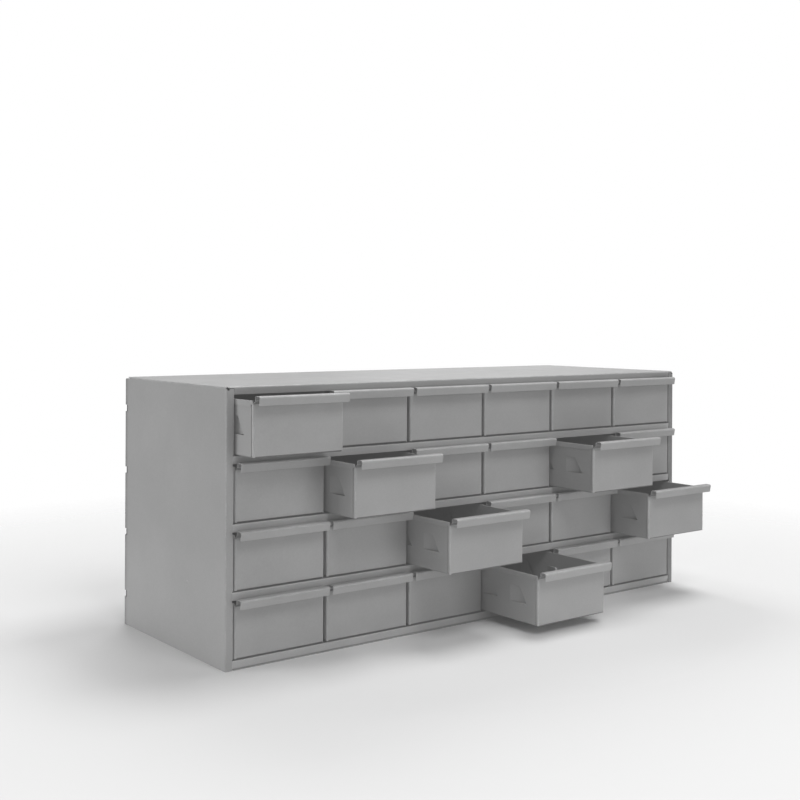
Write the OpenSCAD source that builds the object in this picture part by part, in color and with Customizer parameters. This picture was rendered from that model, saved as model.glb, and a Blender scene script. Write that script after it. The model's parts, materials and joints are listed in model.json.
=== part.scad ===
// Parts bin cabinet: a folded sheet-steel case with a grid of small drawers.
// The origin is the centre of the underside. X runs along the front, Y runs back, Z is up.

/* [Drawers] */
// Number of drawer rows
rows = 4; // [1:1:4]
// Number of drawer columns
cols = 6; // [1:1:6]
// Width of a drawer front
drawer_w = 135.2; // [100:0.1:170]
// Length of a drawer from its face to its back
drawer_len = 294; // [240:1:360]
// Height of a drawer's sides
drawer_h = 71.1; // [62:0.1:90]
// Sheet thickness of a drawer tray
tray_t = 0.7; // [0.6:0.1:1]
// Sheet thickness of a drawer front
front_t = 0.8; // [0.6:0.1:1]
// Outer radius of the bends of a drawer
drawer_bend = 3; // [2:0.1:3.5]
// Height of the hem that is folded outwards along a drawer's sides
hem_h = 7.3; // [5:0.1:9]
// How far a drawer front reaches back inside the tray
front_lap = 17; // [12:1:22]
// Width of the tabs that join a tray's sides to its back
back_tab = 14; // [8:1:20]

/* [Drawer handles] */
// Depth of the folded handle in front of the face
handle_d = 15.4; // [14:0.1:18]
// Height from a drawer's underside to the top of its handle
handle_top = 76.8; // [76:0.1:78]
// Height from a drawer's underside to the lower edge of the handle's flap
flap_low = 65.2; // [62:0.1:67]
// Distance from the face to the back of the handle
handle_stand = 3.4; // [2.5:0.1:4.5]
// Outer radius of the handle's two upper bends
handle_r = 2.6; // [2:0.1:3.4]
// How far the handle's ends stand in from the sides of the front
handle_inset = 0.4; // [0.2:0.1:3]

/* [Divider lances] */
// Number of lances along each side of a drawer
lance_count = 4; // [1:1:4]
// Distance from the front's lap inside the tray to the tip of the first lance
lance_gap = 0.5; // [0.5:0.5:8]
// Distance from one lance to the next
lance_pitch = 60; // [50:1:65]
// Length of a lance from its tip to the crease at its rear
lance_len = 34; // [28:1:36]
// Height of a lance
lance_h = 23; // [12:0.5:24]
// Height of a lance's lower edge above the drawer's underside
lance_low = 27; // [20:0.5:28]
// Length that the slanted front edge of a lance takes up
lance_slope = 15; // [8:0.5:18]
// How far the tip of a lance is pressed in
lance_in = 6; // [2:0.5:7]

/* [Case] */
// Sheet thickness of the case, the decks and the bottom
case_t = 1; // [0.8:0.1:1.2]
// Width of the front flange beside the drawers
flange_w = 11.6; // [9.8:0.1:14]
// Height of the front flange above the drawers
flange_h = 10.2; // [8:0.1:11]
// Depth of the edge that is turned back from the side flanges
flange_return = 5; // [4:0.1:5.5]
// Depth of the flanges round the open back
rear_flange = 10; // [8:0.5:14]
// Outer radius of the bends between the front flanges and the case
front_bend = 2; // [1.5:0.1:3]
// Outer radius of the bends between the top and the sides
top_bend = 3; // [2:0.1:4]
// Angle by which the flange above the drawers and the deck lips lean in
flange_lean = 8; // [0:1:10]
// Spare height between the top row and the top sheet
top_spare = 0.8; // [0.5:0.1:3]
// Number of notches in the rear edge of each side
rear_notches = 4; // [1:1:6]
// Height of a notch in the rear edge
rear_notch_h = 9.5; // [5:0.5:14]
// Depth of a notch in the rear edge
rear_notch_d = 8.5; // [4:0.5:9]
// Length of the step in the rear top corners
corner_step = 13; // [8:1:20]

/* [Decks, partitions and panels] */
// Height of the lip at the front of a deck
lip_h = 11.4; // [9:0.1:13]
// Outer radius of the bends of a deck
deck_bend = 2; // [1.5:0.1:3]
// Height of the flanges that fasten a deck to the sides
deck_flange = 11; // [8:0.5:14]
// Sheet thickness of the partitions and the back
inner_t = 0.8; // [0.6:0.1:1]
// Distance from the front to the front edges of the partitions
partition_recess = 6; // [5.8:0.1:12]
// Height of the seam between the lowest lip and the bottom panel
base_seam = 0.6; // [0.3:0.1:3]
// Height of the flanges that stand up round the bottom panel
bottom_flange = 10; // [8:0.5:10.5]

/* [Clearances] */
// Gap between two drawer fronts side by side
drawer_gap = 4.4; // [3.8:0.1:8]
// Gap between a side flange and the drawer front next to it
flange_gap = 1.3; // [1.2:0.1:4]
// Gap between a drawer and the deck that it runs on
slide_gap = 0.3; // [0.2:0.1:0.6]
// Gap between the sides of a drawer and the lip above them
lip_gap = 3; // [2:0.1:5]
// How far a closed drawer stands out of the case
face_proud = 0.5; // [0:0.1:2]
// Gap between a closed drawer and the back
stop_gap = 0.6; // [0.3:0.1:3]
// Gap between sheets that are spot welded
weld_gap = 0.1; // [0.05:0.05:0.2]
// Gap between a deck's lip and the flange notches that take its ends
notch_gap = 0.25; // [0.1:0.05:0.5]

/* [Drawers drawn out] */
// How far the drawer in row 1, column 1 stands out
pull_r1c1 = 43.5; // [0:0.5:240]
// How far the drawer in row 2, column 2 stands out
pull_r2c2 = 63.5; // [0:0.5:240]
// How far the drawer in row 2, column 5 stands out
pull_r2c5 = 86.5; // [0:0.5:240]
// How far the drawer in row 3, column 3 stands out
pull_r3c3 = 87.5; // [0:0.5:240]
// How far the drawer in row 3, column 6 stands out
pull_r3c6 = 74; // [0:0.5:240]
// How far the drawer in row 4, column 4 stands out
pull_r4c4 = 113.5; // [0:0.5:240]

/* [Hidden] */
paint = [0.60, 0.60, 0.60];
front_paint = [0.64, 0.64, 0.64];
inner_paint = [0.52, 0.52, 0.52];

// Steps in a bend's arc
bend_steps = 5;
roll_steps = 9;
// Overlap that joins two stretches of one sheet
join = 0.05;

col_pitch = drawer_w + drawer_gap;
row_pitch = slide_gap + drawer_h + lip_gap + lip_h;
base_h = case_t + base_seam + lip_h;

case_w = cols * col_pitch - drawer_gap + 2 * (flange_gap + flange_w);
case_d = drawer_len - face_proud + stop_gap + inner_t + weld_gap + case_t;
case_h = base_h + rows * row_pitch + top_spare;

inside_x = case_w / 2 - case_t;
flange_x = case_w / 2 - flange_w;
front_y = -case_d / 2;
rear_y = case_d / 2;
back_y = rear_y - case_t - weld_gap - inner_t;
inner_rear_y = back_y - weld_gap;
ceiling_z = case_h - case_t;

// Depth and spare height of the notches that take the ends of the lips
lip_notch_w = 2;
lip_notch_low = 2.5;
return_bend = 1.6;
rear_bend = 2;
partition_bend = 1.6;
partition_rear = 3;
partition_flange = 6;
deck_end_gap = 8;

// The tray starts behind the step that takes the front inside it
step_in = tray_t + weld_gap;
step_len = 1.2;
step_flat = 0.5;
step_gap = 0.3;
step_start = drawer_bend + step_flat;
tray_start = step_start + step_len + step_gap;
step_bend = 1;
crank_bend = 1.5;
crank_h = 3.6;
crank_root = 1;
stem_y = -handle_stand;
stem_h = 6.4;
crank_z = handle_top - stem_h - crank_h;
face_half = drawer_w / 2 - drawer_bend;
handle_half = drawer_w / 2 - handle_inset;

function deck_z(row) = base_h + (rows - row) * row_pitch;
function column_x(col) = (col - (cols + 1) / 2) * col_pitch;
// Where a level sheet starts behind the bend that leads into a leaning lip
function level_y(radius) = front_y + radius * tan((90 + flange_lean) / 2);
function roof_z(row) = row == 1 ? ceiling_z : deck_z(row - 1) - case_t;

function pull(row, col) =
    row == 1 && col == 1 ? pull_r1c1 :
    row == 2 && col == 2 ? pull_r2c2 :
    row == 2 && col == 5 ? pull_r2c5 :
    row == 3 && col == 3 ? pull_r3c3 :
    row == 3 && col == 6 ? pull_r3c6 :
    row == 4 && col == 4 ? pull_r4c4 : 0;

function drawer_name(row, col, piece) = str("drawer_r", row, "c", col, "_", piece);

DRAWER_NODES = [
    for (row = [1:rows], col = [1:cols], piece = ["tray", "front"]) drawer_name(row, col, piece)
];
NODES = concat(
    ["case_wrap", "bottom_panel", "back_panel"],
    [for (row = [1:rows]) str("shelf_", row)],
    [for (row = [1:rows]) str("partitions_row_", row)],
    DRAWER_NODES
);
node = "all";

// ---- Bent sheet ----

function unit(v) = v / norm(v);
function left_of(v) = [-v[1], v[0]];
function turned(v, angle) = [v[0] * cos(angle) - v[1] * sin(angle), v[0] * sin(angle) + v[1] * cos(angle)];

// The arc at corner b of a line a, b, c, for the face that lies "offset" to the left of that line
function bend_arc(a, b, c, radius, offset, steps) =
    let (
        u = unit(b - a),
        w = unit(c - b),
        turn = atan2(u[0] * w[1] - u[1] * w[0], u * w),
        side = sign(turn),
        start = b - u * radius * tan(abs(turn) / 2),
        centre = start + left_of(u) * side * radius,
        spoke = -left_of(u) * side * (radius - side * offset)
    )
    [for (i = [0:steps]) centre + turned(spoke, turn * i / steps)];

// One face of a bent sheet. Each corner of the line is [point, radius, steps]
function sheet_face(corners, offset) =
    let (
        last = len(corners) - 1,
        first_way = unit(corners[1][0] - corners[0][0]),
        last_way = unit(corners[last][0] - corners[last - 1][0])
    )
    concat(
        [corners[0][0] + left_of(first_way) * offset],
        [
            for (i = [1:last - 1])
            each bend_arc(corners[i - 1][0], corners[i][0], corners[i + 1][0],
                corners[i][1], offset, corners[i][2])
        ],
        [corners[last][0] + left_of(last_way) * offset]
    );

// Section of a sheet whose right-hand face follows the line of corners
module sheet(corners, thickness) {
    right = sheet_face(corners, 0);
    left = sheet_face(corners, thickness);
    polygon(concat(right, [for (i = [len(left) - 1:-1:0]) left[i]]));
}

function corner(x, y, radius = 0, steps = bend_steps) = [[x, y], radius, steps];

// Extrudes a section drawn in Y and Z along X
module along_x(from, to) {
    translate([from, 0, 0]) rotate([90, 0, 90]) linear_extrude(to - from) children();
}

// Extrudes a section drawn in X and Z along Y
module along_y(from, to) {
    translate([0, to, 0]) rotate([90, 0, 0]) linear_extrude(to - from) children();
}

// Extrudes a section drawn in X and Y along Z
module along_z(from, to) {
    translate([0, 0, from]) linear_extrude(to - from) children();
}

module block(from, to) {
    translate(from) cube(to - from);
}

module both_sides() {
    children();
    mirror([1, 0, 0]) children();
}

// ---- Case ----

// Section of the sides and top in X and Z, seen from the front
module wrap_section() {
    sheet([
        corner(case_w / 2, 0),
        corner(case_w / 2, case_h, top_bend),
        corner(-case_w / 2, case_h, top_bend),
        corner(-case_w / 2, 0)
    ], case_t);
}

// Section in Y and Z of the front edge of a level sheet, from the end of its bend down a lip
// that leans in. The upper face is at "top"
module lip_section(top, radius, height) {
    sheet([
        corner(front_y + height * tan(flange_lean), top - height),
        corner(front_y, top, radius),
        corner(level_y(radius) + join, top)
    ], -case_t);
}

module top_front_edge() {
    along_x(-flange_x + notch_gap, flange_x - notch_gap)
        lip_section(case_h, front_bend, flange_h);
    intersection() {
        along_x(-case_w / 2 + top_bend, case_w / 2 - top_bend)
            lip_section(case_h, front_bend, flange_h);
        block(
            [-case_w / 2, front_y - case_t, case_h - front_bend],
            [case_w / 2, level_y(front_bend) + join, case_h + case_t]
        );
    }
}

module top_rear_edge() {
    along_x(-inside_x + rear_flange, inside_x - rear_flange)
        sheet([
            corner(rear_y - rear_bend - join, case_h),
            corner(rear_y, case_h, rear_bend),
            corner(rear_y, case_h - rear_flange)
        ], -case_t);
}

// The right-hand front flange, in plan
module side_front_section() {
    sheet([
        corner(case_w / 2, level_y(front_bend) + join),
        corner(case_w / 2, front_y, front_bend),
        corner(flange_x, front_y, return_bend),
        corner(flange_x, front_y + flange_return)
    ], -case_t);
}

module side_rear_section() {
    sheet([
        corner(case_w / 2, rear_y - rear_bend - join),
        corner(case_w / 2, rear_y, rear_bend),
        corner(case_w / 2 - rear_flange, rear_y)
    ], case_t);
}

// Cuts in the side flanges that take the ends of a deck's lip
module lip_notches() {
    for (row = [1:rows])
        both_sides()
            block(
                [flange_x - case_t, front_y - case_t, deck_z(row) - lip_h - lip_notch_low],
                [flange_x + lip_notch_w, front_y + flange_return + case_t, deck_z(row) + notch_gap]
            );
}

module rear_edge_notches() {
    spacing = case_h / rear_notches;
    for (i = [0:rear_notches - 1])
        both_sides()
            translate([0, 0, (i + 0.5) * spacing])
                block(
                    [case_w / 2 - rear_bend - case_t, rear_y - rear_notch_d, -rear_notch_h / 2],
                    [case_w / 2 + case_t, rear_y + case_t, rear_notch_h / 2]
                );
}

module rear_corner_steps() {
    both_sides()
        block(
            [case_w / 2 - top_bend - case_t, rear_y - corner_step, case_h - 2 * case_t],
            [case_w / 2 + case_t, rear_y + case_t, case_h + case_t]
        );
}

module case_wrap() {
    color(paint)
    difference() {
        union() {
            along_y(level_y(front_bend), rear_y - rear_bend) wrap_section();
            top_front_edge();
            top_rear_edge();
            both_sides() {
                along_z(0, case_h - top_bend) side_front_section();
                along_z(0, case_h - top_bend) side_rear_section();
            }
        }
        lip_notches();
        rear_edge_notches();
        rear_corner_steps();
    }
}

// The bottom's flanges stand inside those of the lowest deck
module bottom_panel() {
    half = inside_x - case_t - 2 * weld_gap;
    rear = inner_rear_y - case_t - weld_gap;
    front_half = flange_x - notch_gap;
    floor_front = front_y + flange_return + notch_gap;
    color(paint) {
        along_y(floor_front, rear - deck_bend)
            sheet([
                corner(-half, bottom_flange),
                corner(-half, 0, deck_bend),
                corner(half, 0, deck_bend),
                corner(half, bottom_flange)
            ], case_t);
        block([-front_half, front_y, 0], [front_half, floor_front + join, case_t]);
        along_x(-half + deck_bend, half - deck_bend)
            sheet([
                corner(rear - deck_bend - join, 0),
                corner(rear, 0, deck_bend),
                corner(rear, bottom_flange)
            ], case_t);
    }
}

module back_panel() {
    half = case_w / 2 - rear_bend - weld_gap;
    top = case_h - rear_bend - weld_gap;
    color(inner_paint)
        block([-half, back_y, weld_gap], [half, back_y + inner_t, top]);
}

// ---- Decks and partitions ----

module shelf(row) {
    top = deck_z(row);
    half = inside_x - weld_gap;
    lip_half = flange_x + lip_notch_w - notch_gap;
    color(inner_paint) {
        along_x(-lip_half, lip_half) lip_section(top, deck_bend, lip_h);
        block(
            [-half + deck_bend, level_y(deck_bend), top - case_t],
            [half - deck_bend, inner_rear_y - deck_bend, top]
        );
        both_sides()
            along_y(front_y + flange_return + deck_end_gap, inner_rear_y - deck_end_gap)
                sheet([
                    corner(half, top - deck_flange),
                    corner(half, top, deck_bend),
                    corner(half - deck_bend - join, top)
                ], case_t);
        along_x(-half + deck_bend, half - deck_bend)
            sheet([
                corner(inner_rear_y - deck_bend - join, top),
                corner(inner_rear_y, top, deck_bend),
                corner(inner_rear_y, top - deck_flange)
            ], -case_t);
    }
}

// A channel over every other column, open below, whose legs part the columns
module partition_channel(col, floor_z, roof) {
    left = column_x(col) - (col_pitch + inner_t) / 2;
    right = column_x(col) + (col_pitch + inner_t) / 2;
    sheet([
        corner(right, floor_z),
        corner(right, roof, partition_bend),
        corner(left, roof, partition_bend),
        corner(left, floor_z)
    ], inner_t);
}

// The last leg, where the number of columns is even, is an angle
module partition_angle(floor_z, roof) {
    left = column_x(cols) + (col_pitch - inner_t) / 2;
    sheet([
        corner(left + partition_flange, roof),
        corner(left, roof, partition_bend),
        corner(left, floor_z)
    ], inner_t);
}

module partitions(row) {
    floor_z = deck_z(row) + weld_gap;
    roof = roof_z(row) - weld_gap;
    color(inner_paint)
        along_y(front_y + partition_recess, inner_rear_y - partition_rear) {
            for (col = [1:2:cols])
                partition_channel(col, floor_z, roof);
            if (cols % 2 == 0)
                partition_angle(floor_z, roof);
        }
}

// ---- Drawers, drawn with the face at Y = 0 and the underside at Z = 0 ----

module tray_section() {
    half = drawer_w / 2;
    sheet([
        corner(-half, drawer_h - tray_t),
        corner(-half, 0, drawer_bend),
        corner(half, 0, drawer_bend),
        corner(half, drawer_h - tray_t)
    ], tray_t);
    for (side = [-1, 1])
        translate([side * half, 0]) {
            translate([0, drawer_h - tray_t]) circle(r = tray_t, $fn = 24);
            translate([side > 0 ? 0 : -tray_t, drawer_h - hem_h]) square([tray_t, hem_h - tray_t]);
        }
}

module tray_back() {
    half = drawer_w / 2;
    rear_start = drawer_len - front_t - drawer_bend;
    along_x(-face_half, face_half)
        sheet([
            corner(rear_start - join, 0),
            corner(drawer_len, 0, drawer_bend),
            corner(drawer_len, drawer_h)
        ], tray_t);
    both_sides()
        along_z(drawer_bend, drawer_h - hem_h)
            sheet([
                corner(half, rear_start - join),
                corner(half, drawer_len - step_in, drawer_bend),
                corner(half - back_tab, drawer_len - step_in)
            ], tray_t);
}

// Seen from outside, with the crease along the upright at X = 0
lance_outline = [[-lance_len, 0], [0, 0], [0, lance_h], [lance_slope - lance_len, lance_h]];
lance_crease = tray_start + front_lap + lance_gap + lance_len;

module at_each_lance() {
    both_sides()
        for (i = [0:lance_count - 1])
            translate([drawer_w / 2, lance_crease + i * lance_pitch, lance_low])
                rotate([90, 0, 90]) children();
}

module lance_hole() {
    translate([0, 0, -2 * tray_t]) linear_extrude(3 * tray_t) polygon(lance_outline);
}

module lance_tab() {
    rotate([0, -asin(lance_in / lance_len), 0])
        translate([0, 0, -tray_t]) linear_extrude(tray_t) polygon(lance_outline);
}

// The sides' hems run on over the front's corners, up to the back of the face
module hem_ends() {
    intersection() {
        along_y(front_t + slide_gap, tray_start + join) tray_section();
        block(
            [-drawer_w, 0, crank_z - crank_root + slide_gap],
            [drawer_w, drawer_len, drawer_h + tray_t]
        );
    }
}

module drawer_tray() {
    rear_start = drawer_len - front_t - drawer_bend;
    difference() {
        union() {
            along_y(tray_start, rear_start) tray_section();
            hem_ends();
            tray_back();
        }
        at_each_lance() lance_hole();
    }
    at_each_lance() lance_tab();
}

// The folded handle and the crank that carries it clear of the lip, in Y and Z
module handle_section() {
    roll_r = handle_r - front_t;
    flap_y = -handle_d + front_t;
    roll_top = handle_top - front_t;
    sheet([
        corner(flap_y, flap_low),
        corner(flap_y, roll_top, roll_r, roll_steps),
        corner(stem_y - front_t, roll_top, roll_r, roll_steps),
        corner(stem_y - front_t, crank_z + crank_h, crank_bend),
        corner(0, crank_z, crank_bend),
        corner(0, crank_z - crank_root)
    ], front_t);
}

// The face, its lower bend and the part that reaches back over the tray's floor
module face_section() {
    sheet([
        corner(0, crank_z - crank_root + join),
        corner(0, 0, drawer_bend),
        corner(step_start, 0, step_bend),
        corner(step_start + step_len, step_in, step_bend),
        corner(tray_start + front_lap, step_in)
    ], front_t);
}

// The right-hand corner of a front and the part that reaches back inside the tray's side
module front_side_section() {
    half = drawer_w / 2;
    sheet([
        corner(face_half - join, 0),
        corner(half, 0, drawer_bend),
        corner(half, step_start, step_bend),
        corner(half - step_in, step_start + step_len, step_bend),
        corner(half - step_in, tray_start + front_lap)
    ], front_t);
}

module drawer_front() {
    along_x(-handle_half, handle_half) handle_section();
    along_x(-face_half, face_half) face_section();
    both_sides()
        along_z(drawer_bend, crank_z - crank_root) front_side_section();
}

module in_bay(row, col) {
    translate([column_x(col), front_y - face_proud - pull(row, col), deck_z(row) + slide_gap])
        children();
}

module tray(row, col) {
    color(paint) in_bay(row, col) drawer_tray();
}

module front(row, col) {
    color(front_paint) in_bay(row, col) drawer_front();
}

function shown(name) = node == "all" || node == name;

if (shown("case_wrap")) case_wrap();
if (shown("bottom_panel")) bottom_panel();
if (shown("back_panel")) back_panel();
for (row = [1:rows]) {
    if (shown(str("shelf_", row))) shelf(row);
    if (shown(str("partitions_row_", row))) partitions(row);
    for (col = [1:cols]) {
        if (shown(drawer_name(row, col, "tray"))) tray(row, col);
        if (shown(drawer_name(row, col, "front"))) front(row, col);
    }
}
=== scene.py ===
"""Parts bin cabinet: folded sheet steel in satin grey enamel, with six of its drawers standing open."""

import json
import math
import random
import re

import bmesh
import bpy
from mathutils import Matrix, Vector

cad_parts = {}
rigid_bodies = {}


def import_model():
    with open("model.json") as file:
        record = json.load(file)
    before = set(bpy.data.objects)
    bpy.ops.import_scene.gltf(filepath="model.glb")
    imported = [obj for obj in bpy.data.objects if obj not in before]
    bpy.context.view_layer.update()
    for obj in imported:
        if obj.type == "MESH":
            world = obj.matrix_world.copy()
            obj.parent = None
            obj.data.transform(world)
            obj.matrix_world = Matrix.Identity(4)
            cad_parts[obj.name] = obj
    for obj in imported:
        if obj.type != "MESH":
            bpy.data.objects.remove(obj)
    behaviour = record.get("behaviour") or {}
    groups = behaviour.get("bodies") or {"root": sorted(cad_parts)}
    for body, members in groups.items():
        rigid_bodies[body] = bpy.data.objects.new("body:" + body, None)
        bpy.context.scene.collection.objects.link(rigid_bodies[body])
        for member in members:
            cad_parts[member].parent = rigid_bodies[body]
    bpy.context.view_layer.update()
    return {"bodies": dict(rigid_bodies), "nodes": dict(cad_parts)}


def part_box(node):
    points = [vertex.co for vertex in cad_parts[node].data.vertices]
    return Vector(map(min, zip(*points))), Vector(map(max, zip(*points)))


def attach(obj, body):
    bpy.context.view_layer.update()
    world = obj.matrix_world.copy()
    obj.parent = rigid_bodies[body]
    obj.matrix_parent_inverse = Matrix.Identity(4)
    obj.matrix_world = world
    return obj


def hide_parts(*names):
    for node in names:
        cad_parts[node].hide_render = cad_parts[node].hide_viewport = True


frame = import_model()

# ---------------------------------------------------------------- sizes

MM = 0.001
CABINET = "cabinet"

# The case, as the frame gives it
case_low, case_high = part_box("case_wrap")
CASE_HALF = case_high.x
CASE_FRONT = case_low.y
CASE_REAR = case_high.y
CASE_TOP = case_high.z

# Thickness of the case and the decks
CASE_T = 1.0 * MM
# The flanges round the case's open front and back, and the case's bends
FLANGE_W = 11.6 * MM
FLANGE_H = 10.2 * MM
FLANGE_RETURN = 5 * MM
REAR_FLANGE = 10 * MM
FRONT_BEND = 2 * MM
TOP_BEND = 3 * MM
REAR_BEND = 2 * MM
RETURN_BEND = 1.6 * MM
# How far the top's flange and the deck lips lean in, and where the side flanges end
FLANGE_LEAN = math.radians(8)
FLANGE_X = CASE_HALF - FLANGE_W
# Notches in the side flanges for the ends of the deck lips, and in the rear edges of the sides
LIP_NOTCH_W = 2 * MM
LIP_NOTCH_LOW = 2.5 * MM
NOTCH_GAP = 0.25 * MM
REAR_NOTCH_H = 9.5 * MM
REAR_NOTCH_D = 8.5 * MM
REAR_NOTCHES = 4
# Length of the step in the rear top corners
CORNER_STEP = 13 * MM
# Weld marks: on the top over the outer columns, and on the sides level with the decks
TOP_WELD_X = 349 * MM
TOP_WELD_Y = (47 * MM, 262 * MM)
SIDE_WELD_Y = 102 * MM
SIDE_WELD_DROP = 4 * MM
SIDE_WELDS = 3
# A weld mark is the dent of a ball of this radius
WELD_BALL_R = 10.5 * MM
WELD_BALL_STEPS = 5
WELD_DEPTH = 0.5 * MM
# The hole left where the top's front bend meets a side flange
CORNER_HOLE = 3.2 * MM
# Width of the strip of painted shade along the case's rear edges, and its strength on the left, right and
# rear flanges
PAINTED_SHADE_STRIP = 9 * MM
FLANGE_PAINTED_SHADE = {-1: 0.15, 1: 0.9}
REAR_PAINTED_SHADE = 0.3

# Decks: the front lip, the side and rear flanges, and how far the side ones stop from the deck's ends
DECK_BEND = 2 * MM
LIP_H = 11.4 * MM
DECK_FLANGE = 11 * MM
DECK_END_GAP = 8 * MM
# Gap between sheets that are spot welded
WELD_GAP = 0.1 * MM

# Drawer trays. Heights are above the drawer's underside, and depths behind its face
TRAY_T = 0.7 * MM
FRONT_T = 0.8 * MM
DRAWER_BEND = 3 * MM
DRAWER_H = 71.1 * MM
DRAWER_HALF = 67.6 * MM
DRAWER_LEN = 294 * MM
HEM_H = 7.3 * MM
HEM_AIR = 0.02 * MM
# Gap between the hems' front ends and the front, and how far the front laps inside the tray
SLIDE_GAP = 0.3 * MM
FRONT_LAP = 17 * MM
BACK_TAB = 14 * MM

# Drawer fronts: the handle, the flap at its front, the stem at its back and the crank that carries the stem
HANDLE_D = 15.4 * MM
HANDLE_TOP = 76.8 * MM
HANDLE_R = 2.6 * MM
FLAP_LOW = 65.2 * MM
FLAP_LEAN = 2 * MM
HANDLE_INSET = 0.4 * MM
HANDLE_HALF = DRAWER_HALF - HANDLE_INSET
FACE_HALF = DRAWER_HALF - DRAWER_BEND
# Height of the square lower ends of a front's corners
CORNER_LOW = 0.7 * MM
STEM_Y = -3.4 * MM
STEM_H = 6.4 * MM
CRANK_H = 3.6 * MM
CRANK_ROOT = 1.0 * MM
CRANK_Z = HANDLE_TOP - STEM_H - CRANK_H
CRANK_BEND = 1.5 * MM
# The step that takes a front's bottom and sides inside the tray
STEP_IN = TRAY_T + WELD_GAP
STEP_LEN = 1.2 * MM
STEP_FLAT = 0.5 * MM
STEP_GAP = 0.3 * MM
STEP_START = DRAWER_BEND + STEP_FLAT
STEP_BEND = 1.0 * MM
TRAY_START = STEP_START + STEP_LEN + STEP_GAP
TRAY_REAR = DRAWER_LEN - FRONT_T - DRAWER_BEND
# How far a face bows out and a flap is pushed in, in their middle, at least and at most, in millimetres
FACE_BOW = (-0.1, 0.3)
FLAP_DENT = (-0.3, 0.3)

# Divider lances, from the tip to the crease at the rear
LANCE_COUNT = 4
LANCE_PITCH = 60 * MM
LANCE_LEN = 34 * MM
LANCE_GAP = 0.5 * MM
LANCE_CREASE = TRAY_START + FRONT_LAP + LANCE_GAP + LANCE_LEN
LANCE_H = 23 * MM
LANCE_LOW = 27 * MM
LANCE_SLOPE = 15 * MM
LANCE_IN = 6 * MM
LANCE_TURN = math.asin(LANCE_IN / LANCE_LEN)

# How finely a bend is stepped
BEND_STEP = math.radians(7.5)
# Strips across a wide panel, along the case's depth, up a drawer's face, and along and across a tray
PANEL_STRIPS = 12
CASE_STRIPS = 8
FACE_STRIPS = 6
TRAY_STRIPS = 4
# How much a cut edge is broken, and how sharp an edge has to be for that
CUT_EDGE = 0.12 * MM
CUT_ANGLE = math.radians(60)
# Edges that turn by more than this stay sharp
SHARP_ANGLE = math.radians(12)
# Points nearer than this are one point
CLOSE = 1e-6


# ---------------------------------------------------------------- folded sheet


def fold_line(corners):
    """Points (u, v, bend) along one face of a folded sheet. A corner is (u, v) or (u, v, radius of its bend).
    bend is 0 on the flats and 1 in the middle of a bend. The sheet lies to the left of the line."""
    points = [(*corners[0][:2], 0.0)]
    for before, here, after in zip(corners, corners[1:], corners[2:]):
        corner = Vector(here[:2])
        way_in = (corner - Vector(before[:2])).normalized()
        way_out = (Vector(after[:2]) - corner).normalized()
        turn = math.atan2(way_in.cross(way_out), way_in.dot(way_out))
        if len(here) == 2 or abs(turn) < CLOSE:
            points.append((*corner, 0.0))
            continue
        side = math.copysign(1, turn)
        start = corner - way_in * here[2] * math.tan(abs(turn) / 2)
        centre = start + Vector((-way_in.y, way_in.x)) * side * here[2]
        steps = max(2, round(abs(turn) / BEND_STEP))
        for i in range(steps + 1):
            angle = turn * i / steps
            spoke = start - centre
            x = spoke.x * math.cos(angle) - spoke.y * math.sin(angle)
            y = spoke.x * math.sin(angle) + spoke.y * math.cos(angle)
            points.append((centre.x + x, centre.y + y, math.sin(math.pi * i / steps)))
    points.append((*corners[-1][:2], 0.0))
    kept = points[:1]
    for point in points[1:]:
        if math.dist(point[:2], kept[-1][:2]) > CLOSE:
            kept.append(point)
    return kept


def spread(low, high, parts):
    """Evenly spaced values from low to high, in that many parts."""
    return [low + (high - low) * i / parts for i in range(parts + 1)]


class Sheet:
    """One face of a folded sheet, gathered from swept patches that share their edges once they are welded."""

    def __init__(self):
        self.bm = bmesh.new()
        self.bend = self.bm.verts.layers.float.new("bend")

    def sweep(self, line, stations, place, flip=False):
        """Adds a patch: the line repeated at each station, where place turns (u, v, station) into a point."""
        rows = []
        for station in stations:
            row = []
            for u, v, bend in line:
                vertex = self.bm.verts.new(place(u, v, station))
                vertex[self.bend] = bend
                row.append(vertex)
            rows.append(row)
        for near, far in zip(rows, rows[1:]):
            for i in range(len(line) - 1):
                quad = (near[i], near[i + 1], far[i + 1], far[i])
                self.bm.faces.new(reversed(quad) if flip else quad)

    def along_x(self, line, stations):
        """Sweeps a line drawn in Y and Z along X."""
        self.sweep(line, stations, lambda u, v, s: (s, u, v))

    def along_y(self, line, stations):
        """Sweeps a line drawn in X and Z along Y."""
        self.sweep(line, stations, lambda u, v, s: (u, s, v), flip=True)

    def along_z(self, line, stations, mirrored=False):
        """Sweeps a line drawn in X and Y along Z, with its sheet on the other side of X = 0 if mirrored."""
        way = -1 if mirrored else 1
        self.sweep(line, stations, lambda u, v, s: (way * u, v, s), flip=mirrored)

    def mesh(self, name, shift=None):
        """Welds the patches and returns a mesh. shift moves each point, to give a panel its slight bow."""
        bmesh.ops.remove_doubles(self.bm, verts=self.bm.verts, dist=CLOSE)
        if shift:
            for vertex in self.bm.verts:
                vertex.co += shift(vertex.co)
        mesh = bpy.data.meshes.new(name)
        self.bm.to_mesh(mesh)
        self.bm.free()
        return mesh


def thicken(obj, thickness):
    """Gives a sheet's face its thickness and breaks the cut edges."""
    solid = obj.modifiers.new("thickness", "SOLIDIFY")
    solid.thickness = thickness
    solid.offset = -1
    solid.use_even_offset = True
    solid.use_quality_normals = True
    bevel = obj.modifiers.new("cut_edge", "BEVEL")
    bevel.width = CUT_EDGE
    bevel.segments = 1
    bevel.limit_method = "ANGLE"
    bevel.angle_limit = CUT_ANGLE
    return obj


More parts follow.
